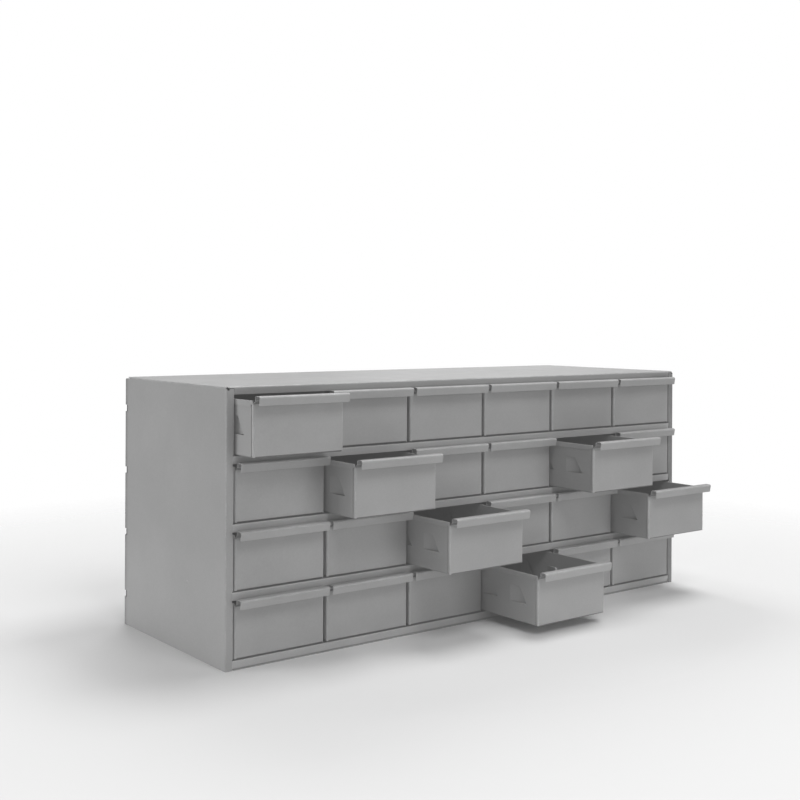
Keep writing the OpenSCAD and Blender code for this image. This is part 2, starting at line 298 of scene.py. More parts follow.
def add_tree(obj, tree, material, **inputs):
    """Adds a Geometry Nodes modifier and sets its material and its other named inputs."""
    modifier = obj.modifiers.new(tree.name, "NODES")
    modifier.node_group = tree
    sockets = {item.name: item.identifier for item in tree.interface.items_tree if item.in_out == "INPUT"}
    modifier[sockets["Material"]] = material
    for name, value in inputs.items():
        modifier[sockets[name.replace("_", " ").capitalize()]] = value


def finished(obj, material):
    """Turns an object with its modifiers into a plain smooth-shaded mesh of one material."""
    flats = obj.modifiers.new("flat_faces", "WEIGHTED_NORMAL")
    flats.keep_sharp = True
    obj.data.polygons.foreach_set("use_smooth", [True] * len(obj.data.polygons))
    obj.data.set_sharp_from_angle(angle=SHARP_ANGLE)
    depsgraph = bpy.context.evaluated_depsgraph_get()
    mesh = bpy.data.meshes.new_from_object(obj.evaluated_get(depsgraph), depsgraph=depsgraph)
    obj.modifiers.clear()
    obj.data = mesh
    mesh.name = obj.name
    mesh.materials.clear()
    mesh.materials.append(material)
    return obj


def new_object(name, data):
    """Adds an object to the scene."""
    obj = bpy.data.objects.new(name, data)
    bpy.context.scene.collection.objects.link(obj)
    return obj


def stands_for(obj, node, body):
    """Puts a finished piece in a CAD node's place."""
    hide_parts(node)
    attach(obj, body)


# ---------------------------------------------------------------- geometry trees


class Tree:
    """A Geometry Nodes tree with named inputs, built one node at a time."""

    def __init__(self, name):
        self.group = bpy.data.node_groups.new(name, "GeometryNodeTree")
        self.group.interface.new_socket("Geometry", in_out="INPUT", socket_type="NodeSocketGeometry")
        self.group.interface.new_socket("Geometry", in_out="OUTPUT", socket_type="NodeSocketGeometry")
        self.start = self.group.nodes.new("NodeGroupInput")
        self.end = self.group.nodes.new("NodeGroupOutput")

    def value(self, name, default, kind="NodeSocketFloat"):
        """Adds a named input and returns its socket."""
        item = self.group.interface.new_socket(name, in_out="INPUT", socket_type=kind)
        item.default_value = default
        return self.start.outputs[name]

    def node(self, kind, settings=None, **inputs):
        """Adds a node. An input is a socket to link or a plain value."""
        node = self.group.nodes.new(kind)
        for name, value in (settings or {}).items():
            setattr(node, name, value)
        for name, value in inputs.items():
            socket = self.find(node, name)
            for one in value if isinstance(value, list) else [value]:
                if isinstance(one, bpy.types.NodeSocket):
                    self.group.links.new(one, socket)
                else:
                    socket.default_value = one
        return node

    @staticmethod
    def find(node, name):
        """The node's socket of that name, with _ for a space, that its settings have in use."""
        return next(s for s in node.inputs if s.enabled and s.name == name.replace("_", " "))

    def vector(self, x=0.0, y=0.0, z=0.0):
        """A vector from its three parts."""
        return self.node("ShaderNodeCombineXYZ", X=x, Y=y, Z=z).outputs[0]

    def math(self, operation, first, second):
        """What one operation makes of two values."""
        node = self.group.nodes.new("ShaderNodeMath")
        node.operation = operation
        for socket, value in zip(node.inputs, (first, second)):
            if isinstance(value, bpy.types.NodeSocket):
                self.group.links.new(value, socket)
            else:
                socket.default_value = value
        return node.outputs[0]

    def row(self, shape, count, step, start=(0.0, 0.0, 0.0), turn=(0.0, 0.0, 0.0)):
        """Instances of the shape in a row."""
        points = self.node("GeometryNodeMeshLine", Count=count, Start_Location=start, Offset=step)
        placed = self.node(
            "GeometryNodeInstanceOnPoints", Points=points.outputs[0], Instance=shape, Rotation=turn)
        return placed.outputs[0]

    def real(self, instances):
        """Instances turned into real geometry."""
        return self.node("GeometryNodeRealizeInstances", Geometry=instances).outputs[0]

    def both_sides(self, shape):
        """The shape and its mirror image on the other side of X = 0, as real geometry."""
        right = self.real(shape)
        turned = self.node("GeometryNodeTransform", Geometry=right, Scale=(-1.0, 1.0, 1.0)).outputs[0]
        left = self.node("GeometryNodeFlipFaces", Mesh=turned).outputs[0]
        return self.node("GeometryNodeJoinGeometry", Geometry=[right, left]).outputs[0]

    def cut(self, mesh, cutter):
        """The mesh without the space of the cutter."""
        settings = {"operation": "DIFFERENCE", "solver": "EXACT"}
        return self.node("GeometryNodeMeshBoolean", settings, Mesh_1=mesh, Mesh_2=cutter).outputs[0]

    def fuse(self, meshes):
        """Several meshes as one."""
        settings = {"operation": "UNION", "solver": "EXACT"}
        return self.node("GeometryNodeMeshBoolean", settings, Mesh=meshes).outputs[0]

    def finish(self, geometry):
        """Ends the tree in real geometry of one material."""
        self.group.interface.new_socket("Material", in_out="INPUT", socket_type="NodeSocketMaterial")
        material = self.start.outputs["Material"]
        made = self.node("GeometryNodeSetMaterial", Geometry=self.real(geometry), Material=material)
        self.group.links.new(made.outputs[0], self.end.inputs[0])
        return self.group


def lance_tree():
    """Presses divider lances into both sides of a drawer tray: a row of holes, each with its tab. A tab is
    bent in about the upright crease at its rear."""
    tree = Tree("Divider lances")
    count = tree.value("Count", LANCE_COUNT, "NodeSocketInt")
    pitch = tree.value("Pitch", LANCE_PITCH)
    first = tree.value("First crease", LANCE_CREASE)
    low = tree.value("Low edge", LANCE_LOW)
    length = tree.value("Length", LANCE_LEN)
    height = tree.value("Height", LANCE_H)
    slope = tree.value("Slope", LANCE_SLOPE)
    side = tree.value("Side", DRAWER_HALF)
    sheet = tree.value("Sheet", TRAY_T)
    angle = tree.value("Angle", LANCE_TURN)

    tip = tree.math("MULTIPLY", length, -1.0)
    outline = tree.node(
        "GeometryNodeCurvePrimitiveQuadrilateral", {"mode": "POINTS"},
        Point_1=tree.vector(tip), Point_2=tree.vector(), Point_3=tree.vector(0.0, height),
        Point_4=tree.vector(tree.math("ADD", tip, slope), height)).outputs[0]
    flat = tree.node("GeometryNodeFillCurve", Curve=outline).outputs[0]

    def plate(thickness):
        """The outline as a closed plate, from its own plane down."""
        back = tree.node("GeometryNodeFlipFaces", Mesh=flat).outputs[0]
        raised = tree.node(
            "GeometryNodeExtrudeMesh", {"mode": "FACES"}, Mesh=back, Offset_Scale=thickness,
            Individual=False).outputs[0]
        both = tree.node("GeometryNodeJoinGeometry", Geometry=[flat, raised]).outputs[0]
        return tree.node("GeometryNodeMergeByDistance", Geometry=both, Distance=CLOSE).outputs[0]

    def row_of(shape, stand_out):
        """The shape at every lance of both sides, standing out from the side by that much."""
        place = tree.vector(tree.math("ADD", side, stand_out), first, low)
        upright = (math.radians(90), 0, math.radians(90))
        return tree.both_sides(tree.row(shape, count, tree.vector(0.0, pitch), place, upright))

    # The holes' cutters reach well past both faces of the sheet
    reach = tree.math("MULTIPLY", sheet, 2.0)
    holes = row_of(plate(tree.math("MULTIPLY", reach, 2.0)), reach)
    crease = tree.vector(0.0, -1.0)
    turn = tree.node("FunctionNodeAxisAngleToRotation", Axis=crease, Angle=angle).outputs[0]
    bent = tree.node("GeometryNodeTransform", Geometry=plate(sheet), Rotation=turn).outputs[0]
    tabs = row_of(bent, -HEM_AIR)
    return tree.finish(tree.fuse([tree.cut(tree.start.outputs[0], holes), tabs]))


def weld_tree():
    """Presses a grid of shallow weld marks into a sheet. Along and Across are the steps of the grid."""
    tree = Tree("Weld marks")
    radius = tree.value("Ball radius", WELD_BALL_R)
    depth = tree.value("Depth", WELD_DEPTH)
    start = tree.value("Start", (0.0, 0.0, 0.0), "NodeSocketVector")
    along = tree.value("Along", (1.0, 0.0, 0.0), "NodeSocketVector")
    across = tree.value("Across", (0.0, 1.0, 0.0), "NodeSocketVector")
    outward = tree.value("Outward", (0.0, 0.0, 1.0), "NodeSocketVector")
    many = tree.value("Count along", 1, "NodeSocketInt")
    rows = tree.value("Count across", 1, "NodeSocketInt")

    lift = tree.math("SUBTRACT", radius, depth)
    raised = tree.node("ShaderNodeVectorMath", {"operation": "SCALE"}, Vector=outward, Scale=lift).outputs[0]
    place = tree.node("ShaderNodeVectorMath", {"operation": "ADD"})
    tree.group.links.new(start, place.inputs[0])
    tree.group.links.new(raised, place.inputs[1])
    ball = tree.node("GeometryNodeMeshIcoSphere", Radius=radius, Subdivisions=WELD_BALL_STEPS).outputs[0]
    balls = tree.real(tree.row(tree.row(ball, many, along, place.outputs[0]), rows, across))
    return tree.finish(tree.cut(tree.start.outputs[0], balls))


def notch_tree():
    """Cuts an upright row of notches into a sheet, and the same row on the other side of X = 0."""
    tree = Tree("Notches")
    count = tree.value("Count", 1, "NodeSocketInt")
    first = tree.value("First", (0.0, 0.0, 0.0), "NodeSocketVector")
    pitch = tree.value("Pitch", 0.0)
    size = tree.value("Size", (1 * MM, 1 * MM, 1 * MM), "NodeSocketVector")

    block = tree.node("GeometryNodeMeshCube", Size=size).outputs[0]
    blocks = tree.both_sides(tree.row(block, count, tree.vector(0.0, 0.0, pitch), first))
    return tree.finish(tree.cut(tree.start.outputs[0], blocks))


LANCES = lance_tree()
WELDS = weld_tree()
NOTCHES = notch_tree()


# ---------------------------------------------------------------- enamel

# The enamel's patterns: patches in a metre, and the detail and roughness of the noise
CLOUDS = (9.0, 4.0, 0.55)
SPECKS = (420.0, 2.0, 0.5)
RUB_AND_HIGHLIGHT = (60.0, 5.0, 0.7)
SHADE_BLOTCHES = (48.0, 4.0, 0.6)
DUST_PATCHES = (26.0, 6.0, 0.65)
GLOSS_PATCHES = (34.0, 5.0, 0.6)
ORANGE_PEEL = (1400.0, 2.0, 0.5)
WAVES = (14.0, 1.0, 0.5)
# The part of a noise's range that a pattern is stretched over
NOISE_BAND = (0.3, 0.7)
RUB_AND_HIGHLIGHT_BAND = (0.42, 0.66)
SETTLED_BAND = (0.35, 0.65)
# How far up a face's normal points where dust and the painted gap shade start and where they are full, and
# where the painted shadow is full and where it ends
DUST_FACING = (0.6, 1.0)
GAP_SHADE_FACING = (0.25, 0.75)
SHADOW_FACING = (-0.5, -0.22)
# How much the specks lighten and darken, how grey dust is, and what is left of the bends' wear and painted
# highlight, of the painted shade's blotches and of dust between their patches
SPECK_DEPTH = 0.03
DUST_GREY = 0.5
RUB_AND_HIGHLIGHT_LEAST = 0.3
SHADE_BLOTCHES_LEAST = 0.6
DUST_LEAST = 0.2
# The orange peel's share in the relief, and the relief's strength and height
PEEL_SHARE = 0.012
RELIEF_STRENGTH = 0.35
RELIEF_HEIGHT = 0.25 * MM
# How far the roughness goes below and above its mean
GLOSS_SPREAD = (-0.05, 0.07)
# What is left of the enamel's brightness under full painted shade
PAINTED_SHADE_DARK = 0.5


class Shader:
    """A node material on a Principled surface, built one node at a time."""

    def __init__(self, name):
        self.material = bpy.data.materials.new(name)
        self.material.use_nodes = True
        self.tree = self.material.node_tree
        self.surface = self.tree.nodes["Principled BSDF"]
        self.place = self.add("ShaderNodeTexCoord").outputs["Object"]

    def add(self, kind, settings=None, **inputs):
        """Adds a node. An input is a socket to link or a plain value."""
        node = self.tree.nodes.new(kind)
        for name, value in (settings or {}).items():
            setattr(node, name, value)
        for name, value in inputs.items():
            self.feed(node.inputs[name.replace("_", " ")], value)
        return node

    def feed(self, socket, value):
        """Links a socket to an input, or gives it a plain value."""
        if isinstance(value, bpy.types.NodeSocket):
            self.tree.links.new(value, socket)
        else:
            socket.default_value = value

    def noise(self, scale, detail, roughness):
        """Noise from 0 to 1 that stays put on the piece."""
        node = self.add(
            "ShaderNodeTexNoise", Vector=self.place, Scale=scale, Detail=detail, Roughness=roughness)
        return node.outputs["Fac"]

    def ramp(self, value, low, high, from_low=0.0, from_high=1.0):
        """The value, carried over from its own range to the range from low to high."""
        node = self.add(
            "ShaderNodeMapRange", Value=value, From_Min=from_low, From_Max=from_high, To_Min=low, To_Max=high)
        return node.outputs["Result"]

    def combine(self, operation, first, second):
        """What one operation makes of two values."""
        node = self.add("ShaderNodeMath", {"operation": operation})
        self.feed(node.inputs[0], first)
        self.feed(node.inputs[1], second)
        return node.outputs[0]

    def product(self, first, *others):
        """All the values multiplied."""
        for other in others:
            first = self.combine("MULTIPLY", first, other)
        return first

    def attribute(self, name):
        """One of the mesh's own values, and 0 where it has none."""
        return self.add("ShaderNodeAttribute", {"attribute_name": name}).outputs["Fac"]

    def grey(self, value):
        """A grey of that brightness."""
        return self.add("ShaderNodeCombineColor", Red=value, Green=value, Blue=value).outputs["Color"]


def enamel(name, shade, mottle=0.05, roughness=0.42, wear_and_highlight=0.25, dust=0.06, painted_gap_shade=0.0, shadow=0.0):
    """Satin grey enamel on steel: faint cloudiness, fine orange peel, bends brightened by wear and a painted
    highlight, painted shade where the mesh's attribute marks it, and dust on what faces up. scuff is painted
    shade on what faces up, for the shade in the gaps under the drawers, and shadow is painted shadow on what
    faces down."""
    shader = Shader(name)
    clouds = shader.ramp(shader.noise(*CLOUDS), 1 - mottle, 1 + mottle, *NOISE_BAND)
    specks = shader.ramp(shader.noise(*SPECKS), 1 - SPECK_DEPTH, 1 + SPECK_DEPTH, *NOISE_BAND)
    base = shader.product(clouds, specks, shade)

    # Bends are brightened, partly as worn paint and partly as a painted highlight, except where painted shade
    # lies
    rub_highlight_patches = shader.ramp(shader.noise(*RUB_AND_HIGHLIGHT), RUB_AND_HIGHLIGHT_LEAST, 1.0, *RUB_AND_HIGHLIGHT_BAND)
    soil = shader.attribute("soil")
    worn_and_highlight = shader.product(shader.attribute("bend"), rub_highlight_patches, shader.ramp(soil, wear_and_highlight, 0.0))
    base = shader.product(base, shader.combine("ADD", 1.0, worn_and_highlight))
    # Painted shade in blotches, where the mesh's attribute marks the case's rear strips and flanges
    blotches = shader.ramp(shader.noise(*SHADE_BLOTCHES), SHADE_BLOTCHES_LEAST, 1.0, *NOISE_BAND)
    base = shader.product(base, shader.ramp(shader.product(soil, blotches), 1.0, PAINTED_SHADE_DARK))

    normal = shader.add("ShaderNodeNewGeometry").outputs["Normal"]
    facing = shader.add("ShaderNodeSeparateXYZ", Vector=normal).outputs["Z"]
    settled = shader.ramp(shader.noise(*DUST_PATCHES), DUST_LEAST, 1.0, *SETTLED_BAND)
    film = shader.product(shader.ramp(facing, 0.0, 1.0, *DUST_FACING), settled, dust)
    base = shader.combine("ADD", base, shader.product(film, DUST_GREY))
    # Painted shade on what faces up, for the shade in the gaps under the drawers
    if painted_gap_shade:
        base = shader.product(base, shader.ramp(facing, 1.0, 1 - painted_gap_shade, *GAP_SHADE_FACING))
    if shadow:
        base = shader.product(base, shader.ramp(facing, 1 - shadow, 1.0, *SHADOW_FACING))
    shader.feed(shader.surface.inputs["Base Color"], shader.grey(base))

    least, most = (roughness + change for change in GLOSS_SPREAD)
    gloss = shader.ramp(shader.noise(*GLOSS_PATCHES), least, most, *NOISE_BAND)
    shader.feed(shader.surface.inputs["Roughness"], shader.combine("ADD", gloss, film))

    peel = shader.product(shader.noise(*ORANGE_PEEL), PEEL_SHARE)
    relief = shader.combine("ADD", peel, shader.noise(*WAVES))
    bump = shader.add("ShaderNodeBump", Strength=RELIEF_STRENGTH, Distance=RELIEF_HEIGHT, Height=relief)
    shader.feed(shader.surface.inputs["Normal"], bump.outputs["Normal"])
    return shader.material


# Each enamel's wear brightens its bends, partly as worn paint and partly as a painted highlight
CASE_ENAMEL = enamel("case_enamel", 0.36, wear_and_highlight=0.4)
INNER_ENAMEL = enamel("inner_enamel", 0.30, mottle=0.08, roughness=0.5, wear_and_highlight=0.1)
# A lighter copy of the case's enamel: painted light on the deck lips. Its darkening of what faces up is
# painted shade in the gaps under the drawers
LIT_DECK_ENAMEL = enamel("deck_enamel", 0.46, wear_and_highlight=0.1, dust=0.0, painted_gap_shade=0.72)
TRAY_ENAMEL = enamel("tray_enamel", 0.355, shadow=0.3)
FRONT_ENAMEL = enamel("front_enamel", 0.37, mottle=0.07, wear_and_highlight=0.3, dust=0.03, shadow=0.7)


# ---------------------------------------------------------------- case


def level_y(radius):
    """Where a level sheet starts behind the bend that leads into a leaning lip."""
    return CASE_FRONT + radius * math.tan((math.pi / 2 + FLANGE_LEAN) / 2)


def lip_line(top, radius, height):
    """A level sheet's front edge in Y and Z, from behind its bend down a lip that leans in."""
    return fold_line([
        (level_y(radius), top),
        (CASE_FRONT, top, radius),
        (CASE_FRONT + height * math.tan(FLANGE_LEAN), top - height),
    ])


def case_shell():
    """The face of the folded case: its top and sides, the front lip, and the front and rear flanges."""
    sheet = Sheet()
    inner_x = FLANGE_X - NOTCH_GAP
    rear_x = CASE_HALF - CASE_T - REAR_FLANGE
    flat_x = CASE_HALF - TOP_BEND
    side_top = CASE_TOP - TOP_BEND
    across = sorted([-flat_x, -inner_x, *spread(-rear_x, rear_x, PANEL_STRIPS), inner_x, flat_x])
    front_y = level_y(FRONT_BEND)
    rear_y = CASE_REAR - REAR_BEND
    # The top and sides, from the foot of the left side over to the foot of the right side
    wrap = fold_line([
        (-CASE_HALF, 0),
        (-CASE_HALF, CASE_TOP, TOP_BEND),
        *[(x, CASE_TOP) for x in across[1:-1]],
        (CASE_HALF, CASE_TOP, TOP_BEND),
        (CASE_HALF, 0),
    ])
    sheet.along_y(wrap[::-1], [*spread(front_y, rear_y - PAINTED_SHADE_STRIP, CASE_STRIPS), rear_y])
    # The top's front edge: the bend runs to the corners, the flange only between the side flanges
    lip = lip_line(CASE_TOP, FRONT_BEND, FLANGE_H)
    sheet.along_x(lip[:-1], across)
    sheet.along_x(lip[-2:], [x for x in across if abs(x) <= inner_x])
    rear = fold_line([
        (CASE_REAR, CASE_TOP - REAR_FLANGE),
        (CASE_REAR, CASE_TOP, REAR_BEND),
        (rear_y, CASE_TOP),
    ])
    sheet.along_x(rear, [x for x in across if abs(x) <= rear_x])
    front_flange = fold_line([
        (FLANGE_X, CASE_FRONT + FLANGE_RETURN),
        (FLANGE_X, CASE_FRONT, RETURN_BEND),
        (CASE_HALF, CASE_FRONT, FRONT_BEND),
        (CASE_HALF, front_y),
    ])
    rear_flange = fold_line([
        (CASE_HALF, rear_y),
        (CASE_HALF, CASE_REAR, REAR_BEND),
        (CASE_HALF - REAR_FLANGE, CASE_REAR),
    ])
    for mirrored in (False, True):
        sheet.along_z(front_flange, [0, side_top], mirrored)
        sheet.along_z(rear_flange, [0, side_top], mirrored)
    return sheet.mesh("case_shell")


def case_painted_shade(point):
    """How much painted shade the case gets at a point, from 0, none, to 1."""
    rear_y = CASE_REAR - REAR_BEND
    if point.y > rear_y:
        return 1.0 if point.y < CASE_REAR - CASE_T / 2 else REAR_PAINTED_SHADE
    at_side = abs(point.x) > FLANGE_X - CASE_T and point.z < CASE_TOP - TOP_BEND + CLOSE
    if at_side and point.y < CASE_FRONT + FRONT_BEND:
        return FLANGE_PAINTED_SHADE[math.copysign(1, point.x)]
    return max(0.0, 1 - (rear_y - point.y) / PAINTED_SHADE_STRIP)


def build_case():
    """Replaces the case: its folded shell, cut and dimpled by the geometry trees."""
    shell = thicken(new_object("case_shell", case_shell()), CASE_T)
    decks = sorted(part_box(name)[1].z for name in frame["nodes"] if name.startswith("shelf_"))
    deck_pitch = decks[1] - decks[0]

    def notch(first, size, count=1, pitch=0.0):
        """Cuts a row of notches into the case's right side, and the same row into its left."""
        add_tree(shell, NOTCHES, CASE_ENAMEL, first=first, size=size, count=count, pitch=pitch)

    # The side flanges' notches for the ends of the deck lips
    low = decks[0] - LIP_H - LIP_NOTCH_LOW
    high = decks[0] + NOTCH_GAP
    reach = FLANGE_RETURN + 2 * CASE_T
    notch(
        (FLANGE_X + (LIP_NOTCH_W - CASE_T) / 2, CASE_FRONT + reach / 2 - CASE_T, (low + high) / 2),
        (LIP_NOTCH_W + CASE_T, reach, high - low), len(decks), deck_pitch)
    # The notches in the rear edges of the sides
    spacing = CASE_TOP / REAR_NOTCHES
    width = REAR_BEND + 2 * CASE_T
    notch(
        (CASE_HALF - REAR_BEND + width / 2 - CASE_T, CASE_REAR + (CASE_T - REAR_NOTCH_D) / 2, spacing / 2),
        (width, REAR_NOTCH_D + CASE_T, REAR_NOTCH_H), REAR_NOTCHES, spacing)
    # The steps in the rear top corners, and the holes in the front ones
    notch(
        (CASE_HALF, CASE_REAR - CORNER_STEP / 2 + CASE_T, CASE_TOP),
        (2 * (TOP_BEND + CASE_T), CORNER_STEP + 2 * CASE_T, 4 * CASE_T))
    notch(
        (CASE_HALF - CORNER_HOLE, CASE_FRONT, CASE_TOP - CORNER_HOLE),
        (CORNER_HOLE, CORNER_HOLE, CORNER_HOLE))

    add_tree(
        shell, WELDS, CASE_ENAMEL, start=(-TOP_WELD_X, CASE_FRONT + TOP_WELD_Y[0], CASE_TOP),
        along=(2 * TOP_WELD_X, 0, 0), across=(0, TOP_WELD_Y[1] - TOP_WELD_Y[0], 0), outward=(0, 0, 1),
        count_along=2, count_across=2)
    for side in (-1, 1):
        add_tree(
            shell, WELDS, CASE_ENAMEL, along=(0, 0, deck_pitch), across=(0, 0, 0), outward=(side, 0, 0),
            start=(side * CASE_HALF, CASE_FRONT + SIDE_WELD_Y, decks[1] - SIDE_WELD_DROP),
            count_along=SIDE_WELDS, count_across=1)
    finished(shell, CASE_ENAMEL)
    # The trees' cuts make new points, so the painted shade is laid on the finished mesh
    soil = shell.data.attributes.new("soil", "FLOAT", "POINT")
    soil.data.foreach_set("value", [case_painted_shade(vertex.co) for vertex in shell.data.vertices])
    stands_for(shell, "case_wrap", CABINET)


def build_deck(node):
    """Replaces a deck: a level sheet with a front lip, and with side and rear flanges turned down."""
    _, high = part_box(node)
    top = high.z
    half = high.x
    flat_half = half - DECK_BEND
    lip_half = FLANGE_X + LIP_NOTCH_W - NOTCH_GAP
    front_y = level_y(DECK_BEND)
    rear_y = high.y
    flat_rear = rear_y - DECK_BEND
    across = [-flat_half, *spread(-lip_half, lip_half, PANEL_STRIPS), flat_half]
    sheet = Sheet()
    sheet.along_x(lip_line(top, DECK_BEND, LIP_H), across[1:-1])
    # The side flanges run between the middle two of these
    depth = [front_y, CASE_FRONT + FLANGE_RETURN + DECK_END_GAP, rear_y - DECK_END_GAP, flat_rear]
    sheet.along_y([(x, top, 0.0) for x in reversed(across)], depth)
    rear = fold_line([(rear_y, top - DECK_FLANGE), (rear_y, top, DECK_BEND), (flat_rear, top)])
    sheet.along_x(rear, across)
    left = fold_line([(-flat_half, top), (-half, top, DECK_BEND), (-half, top - DECK_FLANGE)])
    right = fold_line([(half, top - DECK_FLANGE), (half, top, DECK_BEND), (flat_half, top)])
    sheet.along_y(left, depth[1:3])
    sheet.along_y(right, depth[1:3])
    deck = thicken(new_object(node + "_deck", sheet.mesh(node + "_deck")), CASE_T)
    finished(deck, LIT_DECK_ENAMEL)
    stands_for(deck, node, CABINET)


# ---------------------------------------------------------------- drawers


def tray_mesh():
    """A tray's face: floor, sides with hems turned down outside them, back, and the back's tabs."""
    sheet = Sheet()
    inner = DRAWER_HALF - TRAY_T
    bend = DRAWER_BEND - TRAY_T
    hem_x = DRAWER_HALF + TRAY_T + 2 * HEM_AIR
    hem_r = TRAY_T + HEM_AIR
    hem_low = DRAWER_H - HEM_H
    across = spread(-FACE_HALF, FACE_HALF, TRAY_STRIPS)
    floor = [(x, TRAY_T) for x in reversed(across[1:-1])]
    # The hems run on over the front's corners, above this height
    end_low = CRANK_Z - CRANK_ROOT + SLIDE_GAP
    hem = [(hem_x, end_low), (hem_x, DRAWER_H, hem_r), (inner, DRAWER_H, hem_r), (inner, end_low)]
    other_hem = [(-x, *rest) for x, *rest in reversed(hem)]
    section = fold_line([
        (hem_x, hem_low), *hem, (inner, hem_low), (inner, TRAY_T, bend), *floor,
        (-inner, TRAY_T, bend), (-inner, hem_low), *other_hem, (-hem_x, hem_low),
    ])
    sheet.along_y(section, spread(TRAY_START, TRAY_REAR, TRAY_STRIPS))
    for line in (hem, other_hem):
        sheet.along_y(fold_line(line), [FRONT_T + SLIDE_GAP, TRAY_START])
    back_y = DRAWER_LEN - TRAY_T
    back = fold_line([(back_y, DRAWER_H), (back_y, TRAY_T, bend), (TRAY_REAR, TRAY_T)])
    sheet.along_x(back, across)
    tab_y = DRAWER_LEN - STEP_IN - TRAY_T
    tab = fold_line([(DRAWER_HALF - BACK_TAB, tab_y), (inner, tab_y, bend), (inner, TRAY_REAR)])
    for mirrored in (False, True):
        sheet.along_z(tab, [DRAWER_BEND, hem_low], mirrored)
    return sheet.mesh("tray")


def finished_tray():
    """The tray all drawers share, in the drawer's own frame: face at Y = 0, underside at Z = 0."""
    tray = thicken(new_object("tray_pattern", tray_mesh()), TRAY_T)
    add_tree(tray, LANCES, TRAY_ENAMEL)
    return finished(tray, TRAY_ENAMEL)


def front_mesh(bow, dent):
    """A drawer front's face, bowed out by bow in its middle, with its flap pushed in by dent."""
    sheet = Sheet()
    roll_r = HANDLE_R - FRONT_T
    flap_y = -HANDLE_D + FRONT_T
    roll_top = HANDLE_TOP - FRONT_T
    stem_y = STEM_Y - FRONT_T
    root_z = CRANK_Z - CRANK_ROOT
    across = spread(-FACE_HALF, FACE_HALF, PANEL_STRIPS)
    upright = spread(DRAWER_BEND, root_z, FACE_STRIPS)
    handle = fold_line([
        (flap_y + FLAP_LEAN, FLAP_LOW),
        (flap_y, roll_top, roll_r),
        (stem_y, roll_top, roll_r),
        (stem_y, CRANK_Z + CRANK_H, CRANK_BEND),
        (0, CRANK_Z, CRANK_BEND),
        (0, root_z),
    ])
    sheet.along_x(handle, [-HANDLE_HALF, *across, HANDLE_HALF])
    face = fold_line([
        *[(0, z) for z in reversed(upright[1:])],
        (0, 0, DRAWER_BEND),
        (STEP_START, 0, STEP_BEND),
        (STEP_START + STEP_LEN, STEP_IN, STEP_BEND),
        (TRAY_START + FRONT_LAP, STEP_IN),
    ])
    sheet.along_x(face, across)
    corner = fold_line([
        (FACE_HALF, 0),
        (DRAWER_HALF, 0, DRAWER_BEND),
        (DRAWER_HALF, STEP_START, STEP_BEND),
        (DRAWER_HALF - STEP_IN, STEP_START + STEP_LEN, STEP_BEND),
        (DRAWER_HALF - STEP_IN, TRAY_START + FRONT_LAP),
    ])
    # The corner bends end square, a little above the floor
    corner_end = [point for point in corner if point[1] < STEP_START - STEP_BEND]
    for mirrored in (False, True):
        sheet.along_z(corner, upright, mirrored)
        sheet.along_z(corner_end, [CORNER_LOW, DRAWER_BEND], mirrored)

    def shift(point):
        """How far a point moves: most in the middle of the face and of the flap's lower edge."""
        share_x = max(0.0, 1 - (point.x / FACE_HALF) ** 2)
        share_z = max(0.0, math.sin(math.pi * min(max(point.z / CRANK_Z, 0.0), 1.0)))
        on_face = 1.0 if point.y < FRONT_T else 0.0
        on_flap = 1.0 if point.y < -HANDLE_D + 2 * FRONT_T + FLAP_LEAN else 0.0
        hang = max(0.0, (HANDLE_TOP - HANDLE_R - point.z) / (HANDLE_TOP - HANDLE_R - FLAP_LOW))
        return Vector((0, -bow * share_x * share_z * on_face + dent * share_x * on_flap * hang, 0))

    return sheet.mesh("front", shift)


def build_drawers():
    """Replaces each drawer's tray and front. The trays are alike, and no two fronts are bowed alike."""
    random.seed(24)
    pattern = finished_tray()
    for body in sorted(frame["bodies"]):
        if not re.fullmatch(r"drawer_r\d+c\d+", body):
            continue
        tray_low, tray_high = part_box(body + "_tray")
        front_low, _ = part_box(body + "_front")
        place = Vector(((tray_low.x + tray_high.x) / 2, front_low.y + HANDLE_D, front_low.z))
        tray = new_object(body + "_pan", pattern.data.copy())
        bow = random.uniform(*FACE_BOW) * MM
        dent = random.uniform(*FLAP_DENT) * MM
        front = new_object(body + "_face", front_mesh(bow, dent))
        finished(thicken(front, FRONT_T), FRONT_ENAMEL)
        for piece, node, slot in ((tray, "_tray", "tray_enamel"), (front, "_front", "front_enamel")):
            for vertex in piece.data.vertices:
                vertex.co += place
            stands_for(piece, body + node, body)
    bpy.data.objects.remove(pattern)


# ---------------------------------------------------------------- panels and partitions


def dress_cad_nodes():
    """Gives the frame's own partitions, back and bottom panel their enamel."""
    for name, piece in frame["nodes"].items():
        inside = name.startswith("partitions") or name == "back_panel"
        if inside or name == "bottom_panel":
            piece.data.materials.clear()
            piece.data.materials.append(INNER_ENAMEL if inside else CASE_ENAMEL)


# ---------------------------------------------------------------- studio

# The view's width and height, the focal length and the horizon's height, in pixels
VIEW_SIZE = 800
CAMERA_FOCUS = 1175.8
HORIZON = 319.07
# The camera from the case's lower front left corner and its sensor's width, in millimetres
CAMERA_FROM_CORNER = (-726.7, -1295.0, 442.8)
SENSOR_W = 36
# Its turn in degrees, its roll in radians and how far it sees in metres
CAMERA_TURN = 37.68
CAMERA_ROLL = 0.005
CAMERA_REACH = 200
# How far the view lifts black, as the faint haze that a lens lays over deep gaps
HAZE = 0.051

# The world's light from above the horizon, and the paper's from below it
AMBIENT = 0.13
PAPER_GLOW = 0.33
HORIZON_BLUR = 0.05
